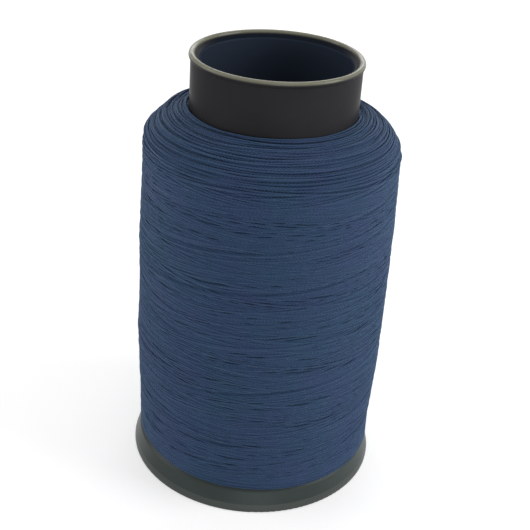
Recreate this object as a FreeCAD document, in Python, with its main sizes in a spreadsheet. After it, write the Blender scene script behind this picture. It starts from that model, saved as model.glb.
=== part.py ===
import FreeCAD, Part
import Sketcher
import math
import os

# A king spool of sewing thread, standing on its base with its axis on Z.
# A straight plastic tube is pushed into a conical base flange, and the thread
# is wound on the tube above the flange. Millimetres, origin at the centre of
# the ring that the spool stands on.

Vector = FreeCAD.Vector
CLOSE = 1e-4                          # two lengths nearer than this are the same
doc = FreeCAD.newDocument("thread_spool")
sheet = doc.addObject("Spreadsheet::Sheet", "Sizes")

# Every driving dimension: alias, value in millimetres or a count.
DIMENSIONS = [
    ("total_height", 108.0),          # floor to the top of the rim bead
    ("tube_diameter", 39.6),          # outside of the tube
    ("tube_wall", 2.3),               # leaves the bore for the pin or cone of a thread stand
    ("rim_overhang", 0.45),           # how far the bead round the mouth stands out of the tube
    ("rim_width", 1.5),               # the bead's thickness, a full round
    ("mouth_depth", 1.5),             # from the top of the bead down to the straight bore
    ("mouth_round", 0.5),             # edge between the sloping mouth and the bore
    ("base_diameter", 63.5),          # skirt at the floor
    ("skirt_top_diameter", 60.8),     # skirt where the thread starts
    ("skirt_height", 5.4),
    ("edge_height", 0.9),             # upright rim at the bottom of the skirt
    ("skirt_wall", 1.6),
    ("edge_round", 0.3),
    ("hub_wall", 1.8),                # socket round the tube's lower end
    ("hub_height", 14.0),
    ("hub_recess", 0.5),              # socket stands this far clear of the floor
    ("seat_thickness", 1.4),          # lip that the tube stands on
    ("web_thickness", 1.6),           # cone between the skirt and the socket
    ("press_gap", 0.02),              # tube to socket, radial
    ("rib_thickness", 1.2),
    ("rib_count", 8),
    ("rib_recess", 1.5),              # ribs stand this far clear of the floor
    ("foot_inset", 0.1),              # edge of the skirt's top to the outside of the thread
    ("barrel_bulge", 0.8),            # how far the wound side swells halfway up
    ("bare_tube", 12.8),              # tube that shows above the thread
    ("shoulder_height", 7.1),
    ("shoulder_bulge", 1.4),          # how far the slope swells at its middle
    ("corner_radius", 2.2),           # blend of side and shoulder
    ("wound_gap", 0.1),               # thread to plastic
    ("thread_diameter", 0.6),
    ("lay_gap", 0.04),                # outer turns to the thread under them
    ("turn_count", 23),
]
for row, (alias, value) in enumerate(DIMENSIONS, start=1):
    sheet.set("A%d" % row, alias)
    sheet.set("B%d" % row, str(value))
    sheet.setAlias("B%d" % row, alias)
doc.recompute()


def size(expression):
    """Value of an expression over the sheet's aliases, written as Sizes.alias."""
    value = sheet.evalExpression(expression)
    return float(getattr(value, "Value", value))


def origin_feature(body, role):
    """A plane or axis of the body's own origin."""
    return [f for f in body.Origin.OriginFeatures if f.Role == role][0]


def new_body(name):
    body = doc.addObject("PartDesign::Body", name)
    body.Label = name
    return body


def outline_sketch(body, name, corners):
    """Closed outline in the XZ plane through corners, each (x, z[, radius]) as expressions.

    The corners run counterclockwise, and a radius is that of the arc which arrives at
    its corner and bulges outwards.
    """
    sketch = body.newObject("Sketcher::SketchObject", name)
    sketch.AttachmentSupport = (origin_feature(body, "XZ_Plane"), [""])
    sketch.MapMode = "FlatFace"
    points = [Vector(size(corner[0]), size(corner[1]), 0) for corner in corners]
    for index, corner in enumerate(corners):
        start, end = points[index - 1], points[index]
        if len(corner) == 2:
            sketch.addGeometry(Part.LineSegment(start, end), False)
            continue
        chord = end - start
        radius = size(corner[2])
        rise = radius - math.sqrt(radius ** 2 - chord.Length ** 2 / 4)
        outwards = Vector(chord.y, -chord.x, 0).normalize()
        sketch.addGeometry(Part.Arc(start, (start + end) / 2 + outwards * rise, end), False)
    for index, corner in enumerate(corners):
        following = (index + 1) % len(corners)
        sketch.addConstraint(Sketcher.Constraint("Coincident", index, 2, following, 1))
        for kind, axis, text in (("DistanceX", "x", corner[0]), ("DistanceY", "z", corner[1])):
            if abs(size(text)) < CLOSE:
                axis_line = -2 if kind == "DistanceX" else -1
                sketch.addConstraint(Sketcher.Constraint("PointOnObject", index, 2, axis_line))
                continue
            number = sketch.addConstraint(Sketcher.Constraint(kind, -1, 1, index, 2, size(text)))
            sketch.renameConstraint(number, "%s%d" % (axis, index))
            sketch.setExpression("Constraints.%s%d" % (axis, index), text)
        if len(corner) > 2:
            number = sketch.addConstraint(Sketcher.Constraint("Radius", index, size(corner[2])))
            sketch.renameConstraint(number, "radius%d" % index)
            sketch.setExpression("Constraints.radius%d" % index, corner[2])
    return sketch


def revolved(body, name, sketch):
    """A full turn of the sketch about the body's Z axis."""
    turned = body.newObject("PartDesign::Revolution", name)
    turned.Profile = sketch
    turned.ReferenceAxis = (origin_feature(body, "Z_Axis"), [""])
    turned.Angle = 360.0
    sketch.Visibility = False
    doc.recompute()
    return turned


def ring_edge(shape, radius, height):
    """Name of the circular edge of that radius and height about Z."""
    for number, edge in enumerate(shape.Edges, start=1):
        curve = edge.Curve
        if curve.TypeId != "Part::GeomCircle":
            continue
        if abs(curve.Radius - radius) < CLOSE and abs(curve.Center.z - height) < CLOSE:
            return "Edge%d" % number
    raise ValueError("no ring edge at radius %g, height %g" % (radius, height))


def bulge_radius(across, along, bulge):
    """Radius expression of an arc that swells by bulge over a chord across and along."""
    return "((%s) ^ 2 + (%s) ^ 2 + 4 * %s ^ 2) / (8 * %s)" % (across, along, bulge, bulge)


# The tube: one moulding, open right through, with a rounded bead round its
# mouth, a slope inside the bead down to the bore, and a plain lower end.
tube_foot = "Sizes.hub_recess + Sizes.seat_thickness"
tube_radius = "(Sizes.tube_diameter / 2)"
bore_radius = "(Sizes.tube_diameter / 2 - Sizes.tube_wall)"
bead_round = "(Sizes.rim_width / 2)"
bead_outside = "(%s + Sizes.rim_overhang)" % tube_radius
bead_middle = "(%s - %s)" % (bead_outside, bead_round)
bead_level = "(Sizes.total_height - %s)" % bead_round
bead_under = "%s - sqrt(%s ^ 2 - (%s - %s) ^ 2)" % (
    bead_level, bead_round, tube_radius, bead_middle)
mouth_level = "Sizes.total_height - Sizes.mouth_depth"
tube = new_body("spool_tube")
tube_sketch = outline_sketch(tube, "tube_outline", [
    (bore_radius, tube_foot),
    (tube_radius, tube_foot),
    (tube_radius, bead_under),
    (bead_outside, bead_level, bead_round),
    (bead_middle, "Sizes.total_height", bead_round),
    ("%s - Sizes.rim_width" % bead_outside, bead_level, bead_round),
    (bore_radius, mouth_level),
])
tube_turned = revolved(tube, "tube_wall", tube_sketch)
mouth_edge = tube.newObject("PartDesign::Fillet", "mouth_edge")
mouth_edge.Base = (tube_turned, [
    ring_edge(tube_turned.Shape, size(bore_radius), size(mouth_level))])
mouth_edge.setExpression("Radius", "Sizes.mouth_round")
doc.recompute()

# The base flange: a conical skirt to stand on, a web that the thread rests on,
# a socket that grips the tube with a lip under it, and ribs below the web.
socket_radius = "(%s + Sizes.press_gap)" % tube_radius
hub_radius = "(%s + Sizes.hub_wall)" % socket_radius
base_radius = "(Sizes.base_diameter / 2)"
skirt_radius = "(Sizes.skirt_top_diameter / 2)"
flange = new_body("base_flange")
flange_sketch = outline_sketch(flange, "flange_outline", [
    (bore_radius, "Sizes.hub_recess"),
    (hub_radius, "Sizes.hub_recess"),
    (hub_radius, "Sizes.hub_height - Sizes.web_thickness"),
    (skirt_radius + " - Sizes.skirt_wall", "Sizes.skirt_height - Sizes.web_thickness"),
    (base_radius + " - Sizes.skirt_wall", "0"),
    (base_radius, "0"),
    (base_radius, "Sizes.edge_height"),
    (skirt_radius, "Sizes.skirt_height"),
    (hub_radius, "Sizes.hub_height"),
    (socket_radius, "Sizes.hub_height"),
    (socket_radius, tube_foot),
    (bore_radius, tube_foot),
])
flange_turned = revolved(flange, "flange_shell", flange_sketch)

# Below the web, upright ribs run from inside the hub's wall to inside the skirt's.
rib_inside = "(%s - Sizes.hub_wall / 2)" % hub_radius
rib_outside = "(%s - Sizes.skirt_wall / 2)" % skirt_radius
rib_sketch = outline_sketch(flange, "rib_outline", [
    (rib_inside, "Sizes.rib_recess"),
    (rib_outside, "Sizes.rib_recess"),
    (rib_outside, "Sizes.skirt_height - Sizes.web_thickness"),
    (rib_inside, "Sizes.hub_height - Sizes.web_thickness"),
])
rib = flange.newObject("PartDesign::Pad", "rib")
rib.Profile = rib_sketch
rib.setExpression("Length", "Sizes.rib_thickness")
rib.Midplane = True
rib_sketch.Visibility = False
doc.recompute()
ribs = flange.newObject("PartDesign::PolarPattern", "ribs")
ribs.Originals = [rib]
ribs.Axis = (origin_feature(flange, "Z_Axis"), [""])
ribs.Angle = 360.0
ribs.setExpression("Occurrences", "Sizes.rib_count")
flange.Tip = ribs
doc.recompute()
skirt_edges = flange.newObject("PartDesign::Fillet", "skirt_edges")
skirt_edges.Base = (ribs, [
    ring_edge(ribs.Shape, size(base_radius), 0.0),
    ring_edge(ribs.Shape, size(base_radius), size("Sizes.edge_height")),
])
skirt_edges.setExpression("Radius", "Sizes.edge_round")
flange.Tip = skirt_edges
doc.recompute()

# The wound thread under the outermost turns: one closed body that fits the
# tube, the socket and the web, with a slightly barrelled side and a rounded
# shoulder that slopes in to the tube.
cover = "(Sizes.thread_diameter + Sizes.lay_gap)"
core_inside = "(%s + Sizes.wound_gap)" % tube_radius
core_radius = "(%s - Sizes.foot_inset - %s)" % (skirt_radius, cover)
web_slope = "(Sizes.hub_height - Sizes.skirt_height) / (%s - %s)" % (skirt_radius, hub_radius)
foot_level = "(Sizes.skirt_height + Sizes.wound_gap + (Sizes.foot_inset + %s) * %s)" % (
    cover, web_slope)
neck_level = "(Sizes.total_height - Sizes.bare_tube - %s)" % cover
collar_level = "(Sizes.total_height - Sizes.bare_tube - Sizes.shoulder_height)"
barrel_radius = bulge_radius("0", "%s - %s" % (collar_level, foot_level), "Sizes.barrel_bulge")
shoulder_radius = bulge_radius(
    "%s - %s" % (core_radius, core_inside), "%s - %s" % (neck_level, collar_level),
    "Sizes.shoulder_bulge")
core = new_body("thread_core")
core_sketch = outline_sketch(core, "core_outline", [
    (core_inside, "Sizes.hub_height + Sizes.wound_gap"),
    (hub_radius, "Sizes.hub_height + Sizes.wound_gap"),
    (core_radius, foot_level),
    (core_radius, collar_level, barrel_radius),
    (core_inside, neck_level, shoulder_radius),
])
core_turned = revolved(core, "core_mass", core_sketch)
core_corner = core.newObject("PartDesign::Fillet", "core_corner")
core_corner.Base = (core_turned, [
    ring_edge(core_turned.Shape, size(core_radius), size(collar_level))])
core_corner.setExpression("Radius", "Sizes.corner_radius")
doc.recompute()


def core_side():
    """The arcs of the core's outline, from the foot up to the neck."""
    arcs = [edge for edge in core.Shape.Edges
            if edge.Curve.TypeId == "Part::GeomCircle" and abs(edge.Curve.Axis.z) < CLOSE]
    return sorted(arcs, key=lambda edge: edge.CenterOfMass.z)


def side_point(edges, way):
    """Point at a length along the core's side, and the direction out of the core."""
    for edge in edges:
        if way <= edge.Length or edge is edges[-1]:
            break
        way -= edge.Length
    rising = edge.valueAt(edge.FirstParameter).z < edge.valueAt(edge.LastParameter).z
    along = way if rising else edge.Length - way
    point = edge.valueAt(edge.getParameterByLength(min(max(along, 0.0), edge.Length)))
    return point, (point - edge.Curve.Center).normalize()


def turn_point(edges, count, share):
    """Centre of the thread at a share of its turns, from 0 at the foot to 1 at the neck."""
    lift = size("Sizes.thread_diameter / 2 + Sizes.lay_gap")
    total = sum(edge.Length for edge in edges)
    margin = size("Sizes.thread_diameter")
    point, outward = side_point(edges, margin + share * (total - 2 * margin))
    place = point + outward * lift
    angle = 2 * math.pi * count * share
    return Vector(place.x * math.cos(angle), place.x * math.sin(angle), place.z)


def turn_direction(edges, count, share):
    """Which way the thread runs there, from a point just ahead and one just behind."""
    near = 1e-5
    ahead = turn_point(edges, count, share + near)
    behind = turn_point(edges, count, share - near)
    return (ahead - behind).normalize()


def arc_between(start, direction, end):
    """The arc from start, leaving along direction, to end."""
    chord = end - start
    bend = chord - direction * chord.dot(direction)
    turn = math.atan2(bend.Length, chord.dot(direction))
    radius = chord.Length / (2 * math.sin(turn))
    across = bend.normalize()
    middle = start + direction * (radius * math.sin(turn)) + across * (radius * (1 - math.cos(turn)))
    return Part.Arc(start, middle, end).toShape()


def biarc(start, leaving, end, arriving):
    """Two arcs that join two points with the given directions at both."""
    chord = end - start
    both = leaving + arriving
    spread = 2 * (1 - leaving.dot(arriving))
    reach = chord.dot(both)
    reach = (math.sqrt(reach ** 2 + spread * chord.dot(chord)) - reach) / spread
    first, second = start + leaving * reach, end - arriving * reach
    joint = (first + second) / 2
    across = (second - first).normalize()
    return [arc_between(start, leaving, joint), arc_between(joint, across, end)]


# The outermost turns: one unbroken thread with eight flat sides, wound from the
# foot to the neck. Its two ends run straight on for one diameter.
thread_sides = 8
points_per_turn = 4
turns_wound = round(size("Sizes.turn_count"))
edges = core_side()
stages = points_per_turn * turns_wound
shares = [number / stages for number in range(stages + 1)]
points = [turn_point(edges, turns_wound, share) for share in shares]
ways = [turn_direction(edges, turns_wound, share) for share in shares]
thread_radius = size("Sizes.thread_diameter / 2")
first = points[0] - ways[0] * 2 * thread_radius
last = points[-1] + ways[-1] * 2 * thread_radius
path = [Part.LineSegment(first, points[0]).toShape()]
for number in range(stages):
    path += biarc(points[number], ways[number], points[number + 1], ways[number + 1])
path.append(Part.LineSegment(points[-1], last).toShape())
route = Part.Wire(path)
ring = Part.Wire(Part.makeCircle(thread_radius, first, ways[0]))
corners = ring.discretize(Number=thread_sides + 1)
section = Part.makePolygon(corners[:-1] + corners[:1])
turns = doc.addObject("Part::Feature", "outer_turns")
turns.Shape = Part.Solid(route.makePipeShell([section], True, False).Shells[0])
turns.Label = "outer_turns"
doc.recompute()

# The least gap is measured between points at least half a turn apart.
samples_per_turn = 80
samples = route.discretize(Number=samples_per_turn * turns_wound)
least = min((samples[a] - samples[b]).Length
            for a in range(len(samples)) for b in range(a + samples_per_turn // 2, len(samples)))
print("least gap between turns %.2f mm" % (least - 2 * thread_radius))
print("thread volume %.1f mm3, its section times its length %.1f mm3" % (
    turns.Shape.Volume, Part.Face(section).Area * route.Length))

# Check every object, then write each piece.
PIECES = [tube, flange, core, turns]
for item in doc.Objects:
    if "Invalid" in item.State or "Error" in item.State:
        raise RuntimeError("%s failed: %s" % (item.Label, item.State))
os.makedirs("parts", exist_ok=True)
for piece in PIECES:
    shape = piece.Shape
    if shape.isNull() or not shape.isValid() or not shape.Solids:
        raise RuntimeError("%s has no valid solid" % piece.Label)
    shape.exportStep("parts/%s.step" % piece.Label)
    print("%s: %d solid, %.1f mm3" % (piece.Label, len(shape.Solids), shape.Volume))
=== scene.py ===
import math

import bpy
import numpy as np
from mathutils import Matrix, Vector


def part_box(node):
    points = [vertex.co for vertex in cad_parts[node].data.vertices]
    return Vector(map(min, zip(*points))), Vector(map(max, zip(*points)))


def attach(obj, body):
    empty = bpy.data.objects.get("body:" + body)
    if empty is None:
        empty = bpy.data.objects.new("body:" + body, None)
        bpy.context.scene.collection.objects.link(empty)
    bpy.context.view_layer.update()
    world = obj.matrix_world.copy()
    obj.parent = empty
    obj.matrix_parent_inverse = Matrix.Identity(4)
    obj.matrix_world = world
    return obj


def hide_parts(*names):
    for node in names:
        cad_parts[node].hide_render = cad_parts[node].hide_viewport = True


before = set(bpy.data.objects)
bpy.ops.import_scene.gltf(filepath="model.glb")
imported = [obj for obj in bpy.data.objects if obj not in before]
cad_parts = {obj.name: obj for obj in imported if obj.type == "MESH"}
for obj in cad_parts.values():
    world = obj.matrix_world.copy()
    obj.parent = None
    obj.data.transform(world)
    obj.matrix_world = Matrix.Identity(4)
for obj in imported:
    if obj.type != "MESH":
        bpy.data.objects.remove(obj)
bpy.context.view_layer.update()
scene = bpy.context.scene
scene.view_settings.view_transform = "Standard"


# The camera stands a little above the spool's mouth and looks down on it, near
# enough for the foot to look narrower than the shoulder. It leans slightly.
camera_place = Vector((0.0, -0.2317, 0.1791))
camera_aim = Vector((0.00052, 0.0, 0.0533))
camera_lean = 0.0709
camera_sensor = 36.0
camera_focal = 71.02

ahead = (camera_aim - camera_place).normalized()
level_right = ahead.cross(Vector((0, 0, 1))).normalized()
level_up = level_right.cross(ahead)
lean_right = level_right * math.cos(camera_lean) + level_up * math.sin(camera_lean)
lean_up = level_up * math.cos(camera_lean) - level_right * math.sin(camera_lean)
turned = Matrix((lean_right, lean_up, -ahead)).transposed().to_4x4()
lens = bpy.data.cameras.new("camera")
lens.sensor_width = camera_sensor
lens.lens = camera_focal
lens.clip_start = 0.01
camera = bpy.data.objects.new("camera", lens)
camera.matrix_world = Matrix.Translation(camera_place) @ turned
scene.collection.objects.link(camera)
scene.camera = camera


# A white table top under a white backdrop: both read as plain white to the lens
# and in reflections, and the table keeps the spool's soft shadow.
def node_tree(owner):
    """An empty node tree with its nodes and links."""
    owner.use_nodes = True
    tree = owner.node_tree
    tree.nodes.clear()
    return tree, tree.nodes, tree.links


def put(nodes, kind, **settings):
    """A new node with its properties and input values set by name."""
    node = nodes.new("ShaderNode" + kind)
    for name, value in settings.items():
        if hasattr(node, name):
            setattr(node, name, value)
        else:
            node.inputs[name.replace("_", " ")].default_value = value
    return node


def seen_plainly(nodes, links):
    """1 for a ray from the lens, a mirror or glass, and 0 for a ray that lights."""
    ray = put(nodes, "LightPath")
    mirrored = put(nodes, "Math", operation="MAXIMUM")
    seen = put(nodes, "Math", operation="MAXIMUM")
    links.new(ray.outputs["Is Glossy Ray"], mirrored.inputs[0])
    links.new(ray.outputs["Is Transmission Ray"], mirrored.inputs[1])
    links.new(ray.outputs["Is Camera Ray"], seen.inputs[0])
    links.new(mirrored.outputs[0], seen.inputs[1])
    return seen.outputs[0]


ambient_level = 0.42
seen_level = 1.0
backdrop_white = (1.0, 1.0, 1.0, 1.0)
world = bpy.data.worlds.new("backdrop")
scene.world = world
tree, nodes, links = node_tree(world)
soft_sky = put(nodes, "Background", Color=backdrop_white, Strength=ambient_level)
white_sky = put(nodes, "Background", Color=backdrop_white, Strength=seen_level)
sky_mix = put(nodes, "MixShader")
sky_out = put(nodes, "OutputWorld")
links.new(seen_plainly(nodes, links), sky_mix.inputs[0])
links.new(soft_sky.outputs[0], sky_mix.inputs[1])
links.new(white_sky.outputs[0], sky_mix.inputs[2])
links.new(sky_mix.outputs[0], sky_out.inputs["Surface"])

table_half_width = 2.0
table_grey = (0.80, 0.80, 0.80, 1.0)
table_glow = 0.45
table_mesh = bpy.data.meshes.new("table_top")
table_corners = [(-1, -1), (1, -1), (1, 1), (-1, 1)]
table_points = [(x * table_half_width, y * table_half_width, 0.0) for x, y in table_corners]
table_mesh.from_pydata(table_points, [], [(0, 1, 2, 3)])
table = bpy.data.objects.new("table_top", table_mesh)
scene.collection.objects.link(table)
table_paint = bpy.data.materials.new("table_white")
tree, nodes, links = node_tree(table_paint)
table_matt = put(nodes, "BsdfDiffuse", Color=table_grey)
table_light = put(nodes, "Emission", Color=backdrop_white)
table_level = put(nodes, "Math", operation="MULTIPLY")
table_level.inputs[1].default_value = table_glow
table_sum = put(nodes, "AddShader")
table_out = put(nodes, "OutputMaterial")
links.new(seen_plainly(nodes, links), table_level.inputs[0])
links.new(table_level.outputs[0], table_light.inputs["Strength"])
links.new(table_matt.outputs[0], table_sum.inputs[0])
links.new(table_light.outputs[0], table_sum.inputs[1])
links.new(table_sum.outputs[0], table_out.inputs["Surface"])
table_mesh.materials.append(table_paint)


# Soft lamps: a broad one at the right, a weaker one at the left, a low one in front
# that brings out the tube's gloss, one overhead, and one far behind that draws the
# bright line along the top of the rim. All of them face the spool's middle.
spool_middle = Vector((0.0, 0.0, 0.05))


def softbox(name, place, width, height, power):
    """A soft lamp that faces the spool's middle."""
    lamp = bpy.data.lights.new(name, "AREA")
    lamp.shape = "RECTANGLE"
    lamp.size = width
    lamp.size_y = height
    lamp.energy = power
    box = bpy.data.objects.new(name, lamp)
    box.location = place
    box.rotation_euler = (spool_middle - Vector(place)).to_track_quat("-Z", "Y").to_euler()
    scene.collection.objects.link(box)


softbox("lamp_right", place=(0.55, -0.10, 0.38), width=0.35, height=0.45, power=1.8)
softbox("lamp_left", place=(-0.58, 0.0, 0.34), width=0.35, height=0.45, power=0.8)
softbox("lamp_front", place=(0.15, -1.0, 0.10), width=0.5, height=0.4, power=2.2)
softbox("lamp_overhead", place=(0.0, 0.1, 0.75), width=0.5, height=0.5, power=0.5)
softbox("lamp_behind", place=(0.0, 1.0, 0.62), width=0.9, height=0.5, power=3.0)


# The base flange: one moulding of dark grey-green plastic, with a conical skirt,
# a socket that grips the tube's foot, and ribs underneath. Its skin is smooth and
# faintly scuffed, and its outermost edge is painted paler as a highlight.
def shader_group(name, inputs, outputs):
    """A node group with float, colour and vector sockets, and its two end nodes."""
    group = bpy.data.node_groups.new(name, "ShaderNodeTree")
    kinds = {"value": "NodeSocketFloat", "colour": "NodeSocketColor", "vector": "NodeSocketVector"}
    for way, sockets in (("INPUT", inputs), ("OUTPUT", outputs)):
        for label, kind in sockets:
            group.interface.new_socket(name=label, in_out=way, socket_type=kinds[kind])
    entry = group.nodes.new("NodeGroupInput")
    leave = group.nodes.new("NodeGroupOutput")
    return group, entry, leave


def use_group(nodes, group, **values):
    """A node that holds the group, with its input values set by name."""
    node = nodes.new("ShaderNodeGroup")
    node.node_tree = group
    for name, value in values.items():
        node.inputs[name.replace("_", " ")].default_value = value
    return node


def colour_ramp(nodes, stops):
    """A colour ramp with the given places and colours, from its low end to its high end."""
    ramp = put(nodes, "ValToRGB")
    elements = ramp.color_ramp.elements
    for place, _ in stops[1:-1]:
        elements.new(place)
    for element, (place, colour) in zip(elements, stops):
        element.position = place
        element.color = (*colour, 1.0)
    return ramp


# Moulded skin: fine orange peel, cloudy gloss, thin scuffs that run round, and a
# zone that starts at one distance from the spool's axis and is full at another.
scuff_stretch = (60.0, 60.0, 2600.0)
scuffs_from = 0.6
scuffs_full = 0.78
without_height = (1.0, 1.0, 0.0)
moulded_skin, skin_in, skin_out = shader_group(
    "moulded_skin",
    [("Peel Size", "value"), ("Peel Depth", "value"), ("Scuffs", "value"), ("Zone From", "value"),
     ("Zone To", "value")],
    [("Cloud", "value"), ("Scuff", "value"), ("Zone", "value"), ("Normal", "vector")])
nodes = moulded_skin.nodes
links = moulded_skin.links
skin_place = put(nodes, "TexCoord")
peel = put(nodes, "TexNoise", Detail=3.0, Roughness=0.6)
cloud = put(nodes, "TexNoise", Scale=55.0, Detail=4.0, Roughness=0.55)
round_stretch = put(nodes, "Mapping")
round_stretch.inputs["Scale"].default_value = scuff_stretch
scuff_lines = put(nodes, "TexNoise", Scale=1.0, Detail=5.0, Roughness=0.7)
scuff_cut = put(nodes, "MapRange")
scuff_cut.inputs["From Min"].default_value = scuffs_from
scuff_cut.inputs["From Max"].default_value = scuffs_full
scuff_amount = put(nodes, "Math", operation="MULTIPLY")
skin_bump = put(nodes, "Bump", Distance=0.0002)
flat_place = put(nodes, "VectorMath", operation="MULTIPLY")
flat_place.inputs[1].default_value = without_height
radius = put(nodes, "VectorMath", operation="LENGTH")
zone_edge = put(nodes, "MapRange", interpolation_type="SMOOTHSTEP")
links.new(skin_place.outputs["Object"], peel.inputs["Vector"])
links.new(skin_in.outputs["Peel Size"], peel.inputs["Scale"])
links.new(skin_place.outputs["Object"], cloud.inputs["Vector"])
links.new(skin_place.outputs["Object"], round_stretch.inputs["Vector"])
links.new(round_stretch.outputs[0], scuff_lines.inputs["Vector"])
links.new(scuff_lines.outputs["Fac"], scuff_cut.inputs["Value"])
links.new(scuff_cut.outputs[0], scuff_amount.inputs[0])
links.new(skin_in.outputs["Scuffs"], scuff_amount.inputs[1])
links.new(peel.outputs["Fac"], skin_bump.inputs["Height"])
links.new(skin_in.outputs["Peel Depth"], skin_bump.inputs["Strength"])
links.new(skin_place.outputs["Object"], flat_place.inputs[0])
links.new(flat_place.outputs[0], radius.inputs[0])
links.new(radius.outputs["Value"], zone_edge.inputs["Value"])
links.new(skin_in.outputs["Zone From"], zone_edge.inputs["From Min"])
links.new(skin_in.outputs["Zone To"], zone_edge.inputs["From Max"])
links.new(zone_edge.outputs[0], skin_out.inputs["Zone"])
links.new(cloud.outputs["Fac"], skin_out.inputs["Cloud"])
links.new(scuff_amount.outputs[0], skin_out.inputs["Scuff"])
links.new(skin_bump.outputs["Normal"], skin_out.inputs["Normal"])


# The zone takes over within a twelfth of its width, and turns from its first tone
# to its last only at its far edge. The cloud makes the gloss a little uneven.
zone_takeover = 12.0
zone_turn = 0.95
cloud_thin = 0.3
cloud_thick = 0.7
gloss_spread = 0.05


def plastic(name, dark, pale, zone, gloss, specular, **skin_values):
    """Moulded plastic: two close tones, cloudy gloss, scuffs, and the zone's two tones of painted
    light.
    """
    material = bpy.data.materials.new(name)
    tree, nodes, links = node_tree(material)
    skin = use_group(nodes, moulded_skin, **skin_values)
    tone = put(nodes, "Mix", data_type="RGBA")
    tone.inputs["A"].default_value = (*dark, 1.0)
    tone.inputs["B"].default_value = (*pale, 1.0)
    tone_share = put(nodes, "Math", operation="ADD", use_clamp=True)
    zone_tone = put(nodes, "Mix", data_type="RGBA")
    zone_share = put(nodes, "Math", operation="MULTIPLY", use_clamp=True)
    zone_share.inputs[1].default_value = zone_takeover
    zone_colours = colour_ramp(nodes, [(zone_turn, zone[0]), (1.0, zone[1])])
    gloss_range = put(nodes, "MapRange")
    gloss_range.inputs["From Min"].default_value = cloud_thin
    gloss_range.inputs["From Max"].default_value = cloud_thick
    gloss_range.inputs["To Min"].default_value = gloss - gloss_spread
    gloss_range.inputs["To Max"].default_value = gloss + gloss_spread
    rougher = put(nodes, "Math", operation="ADD")
    body = put(nodes, "BsdfPrincipled", Specular_IOR_Level=specular)
    body.name = "body"
    out = put(nodes, "OutputMaterial")
    links.new(skin.outputs["Cloud"], tone_share.inputs[0])
    links.new(skin.outputs["Scuff"], tone_share.inputs[1])
    links.new(tone_share.outputs[0], tone.inputs["Factor"])
    links.new(tone.outputs["Result"], zone_tone.inputs["A"])
    links.new(skin.outputs["Zone"], zone_share.inputs[0])
    links.new(skin.outputs["Zone"], zone_colours.inputs["Fac"])
    links.new(zone_share.outputs[0], zone_tone.inputs["Factor"])
    links.new(zone_colours.outputs["Color"], zone_tone.inputs["B"])
    links.new(zone_tone.outputs["Result"], body.inputs["Base Color"])
    links.new(skin.outputs["Cloud"], gloss_range.inputs["Value"])
    links.new(gloss_range.outputs[0], rougher.inputs[0])
    links.new(skin.outputs["Scuff"], rougher.inputs[1])
    links.new(rougher.outputs[0], body.inputs["Roughness"])
    links.new(skin.outputs["Normal"], body.inputs["Normal"])
    links.new(body.outputs[0], out.inputs["Surface"])
    return material


def dress(node_name, material):
    """Gives a solid its material."""
    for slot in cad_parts[node_name].material_slots:
        slot.material = material


flange_dark = (0.022, 0.030, 0.027)
flange_pale = (0.048, 0.066, 0.062)
# Painted highlight: the paler tone of the flange's outermost edge.
flange_edge_highlight = (0.066, 0.076, 0.070)
flange_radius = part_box("base_flange")[1].x
edge_highlight_starts_in = 0.0004
edge_highlight_full_in = 0.0001
# The zone paints the edge highlight.
flange_skin = plastic(
    "flange_plastic", flange_dark, flange_pale, (flange_edge_highlight, flange_edge_highlight),
    gloss=0.36, specular=0.2, Peel_Size=1800.0, Peel_Depth=0.12, Scuffs=0.12,
    Zone_From=flange_radius - edge_highlight_starts_in, Zone_To=flange_radius - edge_highlight_full_in)
dress("base_flange", flange_skin)


# The tube: a straight, glossier moulding in near black, open right through and
# pressed into the flange. A rounded bead runs round its mouth, and the bead's top
# is painted a pale olive highlight. Inside the mouth the sloping edge is painted
# darker as shade, and the wall below it is painted navy as a reflection of the thread.
tube_dark = (0.022, 0.0212, 0.023)
tube_pale = (0.040, 0.039, 0.042)
# Painted highlight: the pale olive colour of the bead's top.
bead_painted_highlight = (0.22, 0.215, 0.15)
# Painted shade darkens the mouth's sloping edge, and a painted navy reflection of the thread
# lightens the bore.
slope_painted_shade = (0.008, 0.011, 0.018)
bore_painted_reflection = (0.030, 0.041, 0.063)
bead_depth = 0.00085
bead_top = 0.0003
bore_radius = 0.0175
mouth_slope = 0.0013
tube_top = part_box("spool_tube")[1].z
# The zone paints that shade and that reflection inside the mouth.
tube_skin = plastic(
    "tube_plastic", tube_dark, tube_pale, (slope_painted_shade, bore_painted_reflection),
    gloss=0.32, specular=0.012, Peel_Size=1400.0, Peel_Depth=0.08, Scuffs=0.1,
    Zone_From=bore_radius + mouth_slope, Zone_To=bore_radius)

# The bead's top: painted paler as a highlight, a little patchy, smoother than the
# rest of the tube, and with a thin shine.
least_highlight = 0.55
bead_smoothing = 0.2
bead_shine = 0.8
bead_shine_roughness = 0.16
nodes = tube_skin.node_tree.nodes
links = tube_skin.node_tree.links
tube_body = nodes["body"]
plain_tone = tube_body.inputs["Base Color"].links[0].from_socket
plain_roughness = tube_body.inputs["Roughness"].links[0].from_socket
bead_place = put(nodes, "TexCoord")
bead_height = put(nodes, "SeparateXYZ")
highlight_patches = put(nodes, "TexNoise", Scale=160.0, Detail=4.0, Roughness=0.6)
highlight_band = put(nodes, "MapRange", interpolation_type="SMOOTHSTEP")
highlight_band.inputs["From Min"].default_value = tube_top - bead_depth
highlight_band.inputs["From Max"].default_value = tube_top - bead_top
highlight_evenness = put(nodes, "MapRange")
highlight_evenness.inputs["To Min"].default_value = least_highlight
highlight_and_polish = put(nodes, "Math", operation="MULTIPLY")
highlight_tone = put(nodes, "Mix", data_type="RGBA")
highlight_tone.inputs["B"].default_value = (*bead_painted_highlight, 1.0)
polished = put(nodes, "Math", operation="MULTIPLY_ADD")
polished.inputs[1].default_value = -bead_smoothing
shine = put(nodes, "Math", operation="MULTIPLY")
shine.inputs[1].default_value = bead_shine
tube_body.inputs["Coat Roughness"].default_value = bead_shine_roughness
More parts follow.
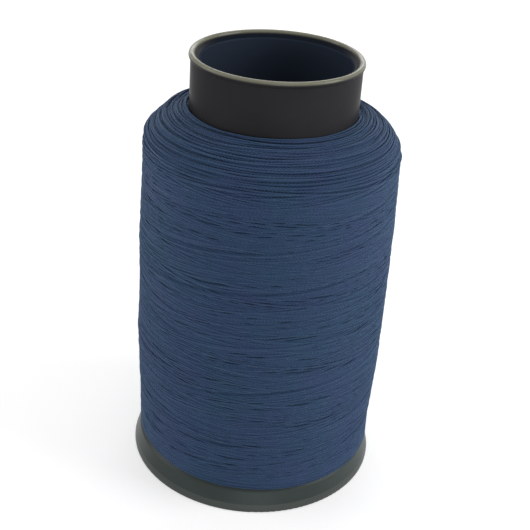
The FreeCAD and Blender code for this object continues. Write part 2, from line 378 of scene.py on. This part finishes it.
links.new(bead_place.outputs["Object"], bead_height.inputs[0])
links.new(bead_place.outputs["Object"], highlight_patches.inputs["Vector"])
links.new(bead_height.outputs["Z"], highlight_band.inputs["Value"])
links.new(highlight_patches.outputs["Fac"], highlight_evenness.inputs["Value"])
links.new(highlight_band.outputs[0], highlight_and_polish.inputs[0])
links.new(highlight_evenness.outputs[0], highlight_and_polish.inputs[1])
links.new(plain_tone, highlight_tone.inputs["A"])
links.new(highlight_and_polish.outputs[0], highlight_tone.inputs["Factor"])
links.new(highlight_tone.outputs["Result"], tube_body.inputs["Base Color"])
links.new(highlight_and_polish.outputs[0], polished.inputs[0])
links.new(plain_roughness, polished.inputs[2])
links.new(polished.outputs[0], tube_body.inputs["Roughness"])
links.new(highlight_and_polish.outputs[0], shine.inputs[0])
links.new(shine.outputs[0], tube_body.inputs["Coat Weight"])
dress("spool_tube", tube_skin)


# The wound package: one thread laid under tension in many passes up and down the
# tube. Its outside is slightly barrelled, with a rounded shoulder that slopes to
# the tube. Its outline comes first, then the lay, then how the turns rest.
def arc_swell(share):
    """Swell of a shallow arc, 0 at both ends and 1 at its middle."""
    return 1.0 - (2.0 * share - 1.0) ** 2


turns_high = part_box("outer_turns")[1]
rim_overhang = 0.00045
barrel_bulge = 0.0008
shoulder_height = 0.0071
shoulder_bulge = 0.0014
neck_rise = 0.0001
line_points = 400
tube_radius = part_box("spool_tube")[1].x - rim_overhang
foot_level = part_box("thread_core")[0].z
end_radius = turns_high.x - barrel_bulge
neck_level = turns_high.z + neck_rise
collar_level = neck_level - shoulder_height

line_steps = np.linspace(0.0, 1.0, line_points)
barrel_r = end_radius + barrel_bulge * arc_swell(line_steps)
barrel_z = foot_level + (collar_level - foot_level) * line_steps
slope_r = end_radius + (tube_radius - end_radius) * line_steps
slope_z = collar_level + (neck_level - collar_level) * line_steps
slope_length = math.hypot(tube_radius - end_radius, neck_level - collar_level)
slope_swell = shoulder_bulge * arc_swell(line_steps)
slope_r = slope_r + slope_swell * (neck_level - collar_level) / slope_length
slope_z = slope_z + slope_swell * (end_radius - tube_radius) / slope_length
line_r = np.concatenate([barrel_r, slope_r[1:]])
line_z = np.concatenate([barrel_z, slope_z[1:]])
line_way = np.concatenate([[0.0], np.cumsum(np.hypot(np.diff(line_r), np.diff(line_z)))])

# The same line in even cells, its corner rounded by a running mean.
cell = 0.00008
cells = int(line_way[-1] / cell)
cell_way = np.arange(cells) * cell


def smooth(values, width):
    """A running mean over an odd number of cells that keeps the ends in place."""
    kernel = np.hanning(width + 2)[1:-1]
    kernel = kernel / kernel.sum()
    reach = width // 2
    before = 2 * values[0] - values[reach:0:-1]
    after = 2 * values[-1] - values[-2:-reach - 2:-1]
    return np.convolve(np.concatenate([before, values, after]), kernel, "valid")


corner_cells = 51
side_r = smooth(np.interp(cell_way, line_way, line_r), corner_cells)
side_z = smooth(np.interp(cell_way, line_way, line_z), corner_cells)
along_r = np.gradient(side_r)
along_z = np.gradient(side_z)
along_length = np.hypot(along_r, along_z)
out_r = along_z / along_length
out_z = -along_r / along_length

# The lay: steep passes up and down that cross each other. Most turn back near the
# collar. The last ones climb the shoulder too, where they run almost level. The
# leads are the climb in one turn, and the sways are periods in turns and amounts.
thread_width = 0.00045
thread_rise = 0.00036
steps_per_turn = 96
hidden_passes = 60
shown_passes = 113
shoulder_passes = 40
side_lead = (0.013, 0.020)
shoulder_lead = (0.0013, 0.0032)
collar_reach = 0.005
foot_reach = 0.002
turn_ease = 0.003
slowest = 0.1
neck_bias = 0.7
end_gap = thread_width * 0.6
sways = [(0.9, 0.00005), (1.7, 0.0001), (3.1, 0.00015)]
sway_fade = 0.002
winding_seed = 20
draw = np.random.default_rng(winding_seed)
foot_way = end_gap
neck_way = cell_way[-1] - end_gap
collar_way = np.interp(collar_level, side_z, cell_way)
way = foot_way
turned_at = foot_way
ways = []
pass_starts = []
passes = hidden_passes + shown_passes
for number in range(passes):
    upward = number % 2 == 0
    pass_starts.append(len(ways))
    lead = draw.uniform(*side_lead)
    level_lead = draw.uniform(*shoulder_lead)
    if not upward:
        stop = foot_way + draw.random() * foot_reach
    elif number < passes - shoulder_passes:
        stop = collar_way - draw.random() * collar_reach
    elif number < passes - 1:
        stop = collar_way + draw.random() ** neck_bias * (neck_way - collar_way)
    else:
        stop = neck_way
    while (way < stop) if upward else (way > stop):
        below_collar = min(max((collar_way - way) / turn_ease, 0.0), 1.0)
        pace = level_lead + (lead - level_lead) * below_collar
        if way < collar_way:
            turning = min(abs(turned_at - way), abs(stop - way)) / turn_ease
            pace *= min(max(turning, slowest), 1.0)
        way += (pace if upward else -pace) / steps_per_turn
        ways.append(way)
    turned_at = way
ways = np.clip(np.array(ways), foot_way, neck_way)
turn_at = np.arange(len(ways)) / steps_per_turn
sway = np.zeros(len(ways))
for period, amount in sways:
    sway += amount * np.sin(2 * math.pi * (turn_at / period + draw.random()))
inside = np.clip(np.minimum(ways - foot_way, neck_way - ways) / sway_fade, 0.0, 1.0)
ways = np.clip(ways + sway * inside, foot_way, neck_way)

# How the turns rest: each slides sideways into the groove that it finds, lies on
# what is below it and presses a little way in. A taut thread falls off a crossing
# slowly. Heights are kept from the pile's gentle mean, so that it doesn't grow.
half_width = thread_width / 2
half_rise = thread_rise / 2
reach = int(half_width / cell)
offsets = np.arange(-reach, reach + 1)
cap = half_rise * np.sqrt(1.0 - (offsets * cell / (half_width + cell / 2)) ** 2)
slide_cells = 3
slides = np.arange(-slide_cells, slide_cells + 1)
slide_pull = 0.00003
slide_ease = 0.15
give = 0.00006
fall = 0.00009
margin = reach + slide_cells + 1
lowest = int(foot_way / cell) + margin
highest = int(neck_way / cell) + margin
deepest = 0.0005
proudest = 0.0004
turns_between_levels = 12
level_cells = 53
level_steps = 17
lift_mean = [0.25, 0.5, 0.25]
step_numbers = np.arange(steps_per_turn)
apart_by = np.abs(step_numbers[:, None] - step_numbers[None, :])
apart_by = np.minimum(apart_by, steps_per_turn - apart_by)
round_mean = np.clip(1.0 - apart_by / level_steps, 0.0, None)
round_mean = round_mean / round_mean.sum(axis=1, keepdims=True)


def pile_level(pile):
    """The pile's gentle mean height round each place."""
    return round_mean @ np.array([smooth(row, level_cells) for row in pile])


pile = np.zeros((steps_per_turn, cells + 2 * margin))
sunk = np.zeros_like(pile)
lifts = np.zeros(len(ways))
slid = np.zeros(len(ways))
drift = 0.0
height_before = 0.0
for start in range(0, len(ways), steps_per_turn):
    stop = min(start + steps_per_turn, len(ways))
    row = np.arange(stop - start)[:, None]
    middle = (ways[start:stop] / cell).astype(int) + margin
    tried = middle[:, None, None] + slides[None, :, None] + offsets[None, None, :]
    rests = (pile[row[:, :, None], tried] + cap).max(axis=2)
    wish = np.exp(-(rests - rests.min(axis=1, keepdims=True)) / slide_pull)
    wish = (wish * slides).sum(axis=1) / wish.sum(axis=1)
    for i in range(stop - start):
        drift += slide_ease * (wish[i] - drift)
        slid[start + i] = drift
    middle = np.clip(middle + np.rint(slid[start:stop]).astype(int), lowest, highest)
    under = middle[:, None] + offsets[None, :]
    resting = (pile[row, under] + cap).max(axis=1) - give
    for i in range(stop - start):
        height_before = max(resting[i], height_before - fall)
        resting[i] = height_before
    for i in range(stop - start - 2, -1, -1):
        resting[i] = max(resting[i], resting[i + 1] - fall)
    lifts[start:stop] = resting + sunk[row[:, 0], middle]
    pile[row, under] = np.maximum(pile[row, under], resting[:, None] + cap)
    if (start // steps_per_turn) % turns_between_levels == 0:
        risen = pile_level(pile)
        pile -= risen
        sunk += risen
        height_before -= risen[row[-1, 0], middle[-1]]
sunk += pile_level(pile)
ways = np.clip(ways + slid * cell, foot_way, neck_way)
lifts -= sunk[np.arange(len(ways)) % steps_per_turn, (ways / cell).astype(int) + margin]
lifts = np.convolve(np.pad(lifts, len(lift_mean) // 2, mode="edge"), lift_mean, "valid")
lifts = np.clip(lifts, -deepest, proudest)

# Here and there the turns have parted, or a tight turn has cut in, and a long dark
# groove runs the way one of the passes runs.
end_angle = -0.1
parting_count = 24
parting_lead = 0.018
parting_push = (0.00005, 0.00015)
parting_depth = (0.0001, 0.00030)
parting_half_arc = (0.4, 1.3)
parting_spread = 0.0005
parting_edge = 0.00008
parting_steepness = (0.7, 1.2)
lowest_parting = 0.004
way_mean = [0.1, 0.2, 0.4, 0.2, 0.1]
angles = 2 * math.pi * (turn_at - turn_at[-1]) + end_angle
sink = np.zeros(len(ways))

# Five of them show plainly at the front: angle, height, climb in a turn, half arc
# and strength. The rest fall anywhere.
plain_partings = [
    (-1.79, 0.0620, 0.017, 1.7, 2.0),
    (-1.68, 0.0350, 0.023, 0.95, 1.9),
    (-0.85, 0.0790, 0.020, 0.8, 1.5),
    (-0.75, 0.0725, 0.020, 0.9, 1.3),
    (-2.50, 0.0480, -0.018, 0.6, 1.3)]
partings = []
for angle, level, lead, half_arc, strength in plain_partings:
    middle_way = np.interp(level, side_z, cell_way)
    partings.append((angle, middle_way, lead / (2 * math.pi), half_arc, strength))
for number in range(parting_count):
    angle = draw.uniform(-math.pi, math.pi)
    middle_way = draw.uniform(lowest_parting, collar_way)
    lead = draw.choice([-1.0, 1.0]) * parting_lead * draw.uniform(*parting_steepness)
    climb = lead / (2 * math.pi)
    half_arc = draw.uniform(*parting_half_arc)
    partings.append((angle, middle_way, climb, half_arc, draw.random()))
for middle_angle, middle_way, climb, half_arc, strength in partings:
    round_by = (angles - middle_angle + math.pi) % (2 * math.pi) - math.pi
    window = np.clip(1.0 - (round_by / half_arc) ** 2, 0.0, 1.0)
    apart = ways - middle_way - climb * round_by
    near = window * np.exp(-(apart / parting_spread) ** 2)
    push = parting_push[0] + strength * (parting_push[1] - parting_push[0])
    depth = parting_depth[0] + strength * (parting_depth[1] - parting_depth[0])
    ways = ways + push * near * np.tanh(apart / parting_edge)
    sink += depth * near ** 2
ways = np.convolve(np.pad(ways, len(way_mean) // 2, mode="edge"), way_mean, "valid")
ways = np.clip(ways, foot_way, neck_way)

# The tension beds the turns flatter on the side than on the shoulder. Gentle
# swells and a small lean to one side spoil the package's roundness. Each swell is
# its lobes, its phase, its amount and its wave's length up the spool.
side_relief = 0.16
shoulder_relief = 0.85
settle = 0.00006
off_centre = 0.00025
swells = [
    (1, 0.7, 0.00006, 0.023),
    (2, 2.1, 0.00006, 0.041),
    (3, 4.0, 0.00004, 0.012),
    (0, 1.3, 0.00008, 0.031)]


def swell_at(angle, place):
    """How far the package stands out of round there."""
    total = off_centre * np.cos(angle)
    for lobes, phase, amount, wave in swells:
        total = total + amount * np.sin(lobes * angle + phase + 2 * math.pi * place / wave)
    return total


# Some stretches of the last passes were laid a little slacker and stand proud.
proud_passes = 16
proud_lift = 0.00009
proud_share = 0.5
proud_periods = (2.3, 5.1)
proud = np.zeros(len(ways))
for period in proud_periods:
    proud += np.sin(2 * math.pi * (turn_at / period + draw.random()))
proud = np.clip(proud - proud_share, 0.0, 1.0)
proud[:pass_starts[-proud_passes]] = 0.0

at_r = np.interp(ways, cell_way, side_r)
at_z = np.interp(ways, cell_way, side_z)
at_out_r = np.interp(ways, cell_way, out_r)
at_out_z = np.interp(ways, cell_way, out_z)
on_shoulder = np.clip((ways - collar_way) / collar_reach + 1.0, 0.0, 1.0)
relief = side_relief + (shoulder_relief - side_relief) * on_shoulder
height = lifts * relief - settle - sink + proud_lift * proud
height = height + swell_at(angles, at_z) * np.clip(at_out_r, 0.0, 1.0)
centre_r = np.maximum(at_r + at_out_r * height, tube_radius + half_width)
centre_z = at_z + at_out_z * height


# The thread itself: three plies twisted together, dyed navy, soft and matt. It is
# drawn as one unbroken strand, turn after turn, in a few stretches of its length.
# The last layers show, and those below them only shape the bed that they lie on.
def build_mesh(name, points, quads, ends=()):
    """A smooth mesh from arrays of points and quads, with extra faces for its ends."""
    mesh = bpy.data.meshes.new(name)
    counts = np.concatenate([np.full(len(quads), 4), [len(end) for end in ends]]).astype(np.int32)
    loop_starts = np.concatenate([[0], np.cumsum(counts)[:-1]])
    corners = np.concatenate([np.asarray(quads).ravel()] + [np.asarray(end) for end in ends])
    mesh.vertices.add(len(points))
    mesh.vertices.foreach_set("co", np.asarray(points, np.float32).ravel())
    mesh.loops.add(len(corners))
    mesh.loops.foreach_set("vertex_index", corners.astype(np.int32))
    mesh.polygons.add(len(counts))
    mesh.polygons.foreach_set("loop_start", loop_starts.astype(np.int32))
    mesh.polygons.foreach_set("use_smooth", [True] * len(counts))
    mesh.update(calc_edges=True)
    mesh.validate()
    return mesh


thread_sides = 5
row_margin = 0.05
row_share = 0.9


def strand_mesh(name, centre, outward, across, run_before=0.0):
    """A thread along centre points, each with its outward and its across direction."""
    count = len(centre)
    around = 2 * math.pi * np.arange(thread_sides) / thread_sides
    points = (centre[:, None, :]
              + half_rise * np.cos(around)[None, :, None] * outward[:, None, :]
              + half_width * np.sin(around)[None, :, None] * across[:, None, :])
    ring = np.arange(thread_sides)
    after = (ring + 1) % thread_sides
    base = (np.arange(count - 1) * thread_sides)[:, None]
    quads = np.stack([base + ring, base + ring + thread_sides,
                      base + after + thread_sides, base + after], axis=2).reshape(-1, 4)
    ends = [ring, (ring + (count - 1) * thread_sides)[::-1]]
    mesh = build_mesh(name, points.reshape(-1, 3), quads, ends)

    # Each turn is one row of the bake's map. The lay map runs in metres along the
    # thread and in shares of its girth.
    step = np.repeat(np.arange(count - 1), thread_sides)
    side = np.tile(ring, count - 1)
    corner_step = np.stack([step, step + 1, step + 1, step], axis=1)
    corner_side = np.stack([side, side, side + 1, side + 1], axis=1)
    rows = math.ceil((count - 1) / steps_per_turn)
    row = (step // steps_per_turn)[:, None]
    bake_u = (corner_step - row * steps_per_turn) / steps_per_turn
    bake_v = (row + row_margin + row_share * corner_side / thread_sides) / rows
    runs = np.linalg.norm(np.diff(centre, axis=0), axis=1)
    run = run_before + np.concatenate([[0.0], np.cumsum(runs)])
    maps = {"OFBake": (bake_u, bake_v), "lay": (run[corner_step], corner_side / thread_sides)}
    for label, (u, v) in maps.items():
        values = np.zeros((len(mesh.loops), 2), np.float32)
        values[:quads.size, 0] = u.ravel()
        values[:quads.size, 1] = v.ravel()
        mesh.uv_layers.new(name=label).uv.foreach_set("vector", values.ravel())
    return mesh, run[-1]


def round_axis(angle, r, z):
    """Points or directions from their angle, radius and height."""
    return np.stack([r * np.cos(angle), r * np.sin(angle), z], axis=-1)


def add_piece(name, mesh, material):
    """A piece of thread with its one material, riding on the spool."""
    mesh.materials.append(material)
    piece = bpy.data.objects.new(name, mesh)
    scene.collection.objects.link(piece)
    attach(piece, "root")
    return piece


# Twisted thread: three plies that wind round each other, with fine fibres along
# them. It gives the grooves between plies, the fibres' streaks and a normal.
plies = 3.0
fibre_stretch = (900.0, 14.0, 1.0)
fibre_height = 0.35
dye_stretch = (22.0, 0.0, 0.0)
twisted_lay, lay_in, lay_out = shader_group(
    "twisted_lay",
    [("Lay", "vector"), ("Twist", "value"), ("Depth", "value")],
    [("Groove", "value"), ("Streak", "value"), ("Dye", "value"), ("Normal", "vector")])
nodes = twisted_lay.nodes
links = twisted_lay.links
lay_parts = put(nodes, "SeparateXYZ")
twist_run = put(nodes, "Math", operation="MULTIPLY")
ply_count = put(nodes, "Math", operation="MULTIPLY")
ply_count.inputs[1].default_value = plies
ply_phase = put(nodes, "Math", operation="ADD")
ply_turn = put(nodes, "Math", operation="MULTIPLY")
ply_turn.inputs[1].default_value = 2 * math.pi
ply_wave = put(nodes, "Math", operation="SINE")
ply_round = put(nodes, "MapRange")
ply_round.inputs["From Min"].default_value = -1.0
streak_scale = put(nodes, "Mapping")
streak_scale.inputs["Scale"].default_value = fibre_stretch
streaks = put(nodes, "TexNoise", Scale=1.0, Detail=4.0, Roughness=0.65)
dye_scale = put(nodes, "Mapping")
dye_scale.inputs["Scale"].default_value = dye_stretch
dye = put(nodes, "TexNoise", Scale=1.0, Detail=3.0, Roughness=0.6)
lay_height = put(nodes, "Math", operation="MULTIPLY_ADD")
lay_height.inputs[1].default_value = fibre_height
lay_bump = put(nodes, "Bump", Distance=0.00008)
links.new(lay_in.outputs["Lay"], lay_parts.inputs[0])
links.new(lay_parts.outputs["X"], twist_run.inputs[0])
links.new(lay_in.outputs["Twist"], twist_run.inputs[1])
links.new(lay_parts.outputs["Y"], ply_count.inputs[0])
links.new(twist_run.outputs[0], ply_phase.inputs[0])
links.new(ply_count.outputs[0], ply_phase.inputs[1])
links.new(ply_phase.outputs[0], ply_turn.inputs[0])
links.new(ply_turn.outputs[0], ply_wave.inputs[0])
links.new(ply_wave.outputs[0], ply_round.inputs["Value"])
links.new(lay_in.outputs["Lay"], streak_scale.inputs["Vector"])
links.new(streak_scale.outputs[0], streaks.inputs["Vector"])
links.new(lay_in.outputs["Lay"], dye_scale.inputs["Vector"])
links.new(dye_scale.outputs[0], dye.inputs["Vector"])
links.new(streaks.outputs["Fac"], lay_height.inputs[0])
links.new(ply_round.outputs[0], lay_height.inputs[2])
links.new(lay_height.outputs[0], lay_bump.inputs["Height"])
links.new(lay_in.outputs["Depth"], lay_bump.inputs["Strength"])
links.new(ply_round.outputs[0], lay_out.inputs["Groove"])
links.new(streaks.outputs["Fac"], lay_out.inputs["Streak"])
links.new(dye.outputs["Fac"], lay_out.inputs["Dye"])
links.new(lay_bump.outputs["Normal"], lay_out.inputs["Normal"])

thread_deep = (0.016, 0.032, 0.076)
thread_mid = (0.025, 0.054, 0.123)
thread_light = (0.046, 0.091, 0.188)
thread_teal = (0.016, 0.066, 0.110)
thread_violet = (0.038, 0.047, 0.138)
thread_sheen = 0.3
thread_sheen_roughness = 0.45
thread_sheen_tint = (0.45, 0.68, 0.95, 1.0)
thread_plies_per_metre = 1200.0
tone_stops = [(0.25, thread_deep), (0.5, thread_mid), (0.8, thread_light)]
cast_stops = [(0.35, thread_teal), (0.65, thread_violet)]
cast_share = 0.3
thread_smoothest = 0.62
thread_roughest = 0.85
# The groove share paints shade between the plies into the colour.
tone_shares = {"Groove": 0.26, "Dye": 0.36, "Streak": 0.18}
patch_share = 0.2


def thread_material(name):
    """Matt navy thread with painted shade between plies, and patches a little greener or redder.
    """
    material = bpy.data.materials.new(name)
    tree, nodes, links = node_tree(material)
    lay_map = put(nodes, "UVMap", uv_map="lay")
    twist = use_group(nodes, twisted_lay, Twist=thread_plies_per_metre, Depth=0.6)
    place = put(nodes, "TexCoord")
    broad = put(nodes, "TexNoise", Scale=70.0, Detail=4.0, Roughness=0.6)
    patches = put(nodes, "TexNoise", Scale=420.0, Detail=3.0, Roughness=0.6)
    ramp = colour_ramp(nodes, tone_stops)
    cast = colour_ramp(nodes, cast_stops)
    tone_parts = [(twist.outputs[label], share) for label, share in tone_shares.items()]
    tone_parts.append((patches.outputs["Fac"], patch_share))
    tone = None
    for source, share in tone_parts:
        part = put(nodes, "Math", operation="MULTIPLY_ADD")
        part.inputs[1].default_value = share
        part.inputs[2].default_value = 0.0
        links.new(source, part.inputs[0])
        if tone:
            links.new(tone, part.inputs[2])
        tone = part.outputs[0]
    tinted = put(nodes, "Mix", data_type="RGBA")
    tinted.inputs["Factor"].default_value = cast_share
    rough = put(nodes, "MapRange")
    rough.inputs["To Min"].default_value = thread_smoothest
    rough.inputs["To Max"].default_value = thread_roughest
    body = put(nodes, "BsdfPrincipled", Specular_IOR_Level=0.2)
    body.inputs["Sheen Weight"].default_value = thread_sheen
    body.inputs["Sheen Roughness"].default_value = thread_sheen_roughness
    body.inputs["Sheen Tint"].default_value = thread_sheen_tint
    out = put(nodes, "OutputMaterial")
    links.new(lay_map.outputs["UV"], twist.inputs["Lay"])
    links.new(place.outputs["Object"], broad.inputs["Vector"])
    links.new(place.outputs["Object"], patches.inputs["Vector"])
    links.new(tone, ramp.inputs["Fac"])
    links.new(broad.outputs["Fac"], cast.inputs["Fac"])
    links.new(ramp.outputs["Color"], tinted.inputs["A"])
    links.new(cast.outputs["Color"], tinted.inputs["B"])
    links.new(tinted.outputs["Result"], body.inputs["Base Color"])
    links.new(twist.outputs["Streak"], rough.inputs["Value"])
    links.new(rough.outputs[0], body.inputs["Roughness"])
    links.new(twist.outputs["Normal"], body.inputs["Normal"])
    links.new(body.outputs[0], out.inputs["Surface"])
    return material


navy_thread = thread_material("navy_thread")
turns_per_piece = 200
shown_first = pass_starts[hidden_passes]
pieces = math.ceil((len(ways) - shown_first) / (turns_per_piece * steps_per_turn))
cuts = np.linspace(shown_first, len(ways), pieces + 1).astype(int)
centre = round_axis(angles, centre_r, centre_z)
outward = round_axis(angles, at_out_r, at_out_z)
across = round_axis(angles, -at_out_z, at_out_r)
run = 0.0
for number, (first, last) in enumerate(zip(cuts[:-1], cuts[1:])):
    # A stretch starts at the step where the one before it stops, so the thread is whole.
    chosen = slice(first - 1, last)
    stretch_name = "thread_stretch_%d" % (number + 1)
    stretch_mesh, run = strand_mesh(
        stretch_name, centre[chosen], outward[chosen], across[chosen], run)
    stretch = add_piece(stretch_name, stretch_mesh, navy_thread)
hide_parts("outer_turns")


# The thread's end: the same thread, snipped off short where the last turn meets the
# tube at the neck. It springs up and a little outward from the turns.
end_length = 0.0016
end_rise = 0.0011
end_lean = 0.4
end_points = 9
end_steps = np.linspace(0.0, 1.0, end_points)
heading = Vector(centre[-1] - centre[-2]).normalized()
outward_flat = Vector((outward[-1][0], outward[-1][1], 0.0)).normalized()
lifted = outward_flat * end_lean + Vector((0.0, 0.0, 1.0))
end_centre = (centre[-1] + np.outer(end_steps * end_length, heading)
              + np.outer(end_steps ** 2 * end_rise, lifted))
end_outward = np.repeat(outward[-1:], end_points, axis=0)
end_across = np.repeat(across[-1:], end_points, axis=0)
end_mesh = strand_mesh("thread_end", end_centre, end_outward, end_across, run)[0]
add_piece("thread_end", end_mesh, navy_thread)


# The inner windings: the mass of the same thread that the last passes lie on. It
# fills the space between the tube, the flange and those passes. Only a little of
# it shows, where they have parted, so it is one closed form without turns.
core_turns = 128
core_ring_gap = 0.0012
side_depth = 0.00034
shoulder_depth = 0.0004
hub_radius = 0.02162
core_clearance = 0.0001
foot_chamfer = 0.0004
swell_starts_out = 0.001
core_rows = np.arange(0, cells, int(core_ring_gap / cell))
core_climb = np.clip((cell_way[core_rows] - collar_way) / collar_reach + 1.0, 0.0, 1.0)
core_depth = side_depth + (shoulder_depth - side_depth) * core_climb
core_r = side_r[core_rows] - out_r[core_rows] * core_depth
core_z = side_z[core_rows] - out_z[core_rows] * core_depth
inner_r = tube_radius + core_clearance
hub_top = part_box("base_flange")[1].z + core_clearance
core_r = np.maximum(core_r, inner_r)
core_foot = [(inner_r, hub_top), (hub_radius, hub_top), (core_r[0] - foot_chamfer, foot_level)]
outline = np.array(core_foot + list(zip(core_r, core_z)) + [(inner_r, core_z[-1])])
around = 2 * math.pi * np.arange(core_turns)[:, None] / core_turns
rings = len(outline)
outline_r = outline[None, :, 0]
outline_z = outline[None, :, 1]
swells_here = outline_r > hub_radius + swell_starts_out
radii = outline_r + swell_at(around, outline_z) * swells_here
levels = np.broadcast_to(outline_z, radii.shape)
points = round_axis(around, radii, levels).reshape(-1, 3)
column = np.arange(core_turns)[:, None] * rings
column_after = ((np.arange(core_turns) + 1) % core_turns)[:, None] * rings
row = np.arange(rings)[None, :]
row_after = (row + 1) % rings
quads = np.stack([column + row, column_after + row,
                  column_after + row_after, column + row_after], axis=2).reshape(-1, 4)
core_mesh = build_mesh("thread_inner_windings", points, quads)
core_lay = core_mesh.uv_layers.new(name="lay")
corner_points = points[quads.ravel()]
corner_column = np.repeat(np.arange(core_turns), rings * 4)
column_width = 2 * math.pi * turns_high.x / core_turns
core_map = np.stack([corner_column * column_width, corner_points[:, 2] / thread_width], axis=1)
core_lay.uv.foreach_set("vector", core_map.astype(np.float32).ravel())
core = add_piece("thread_inner_windings", core_mesh, navy_thread)
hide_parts("thread_core")
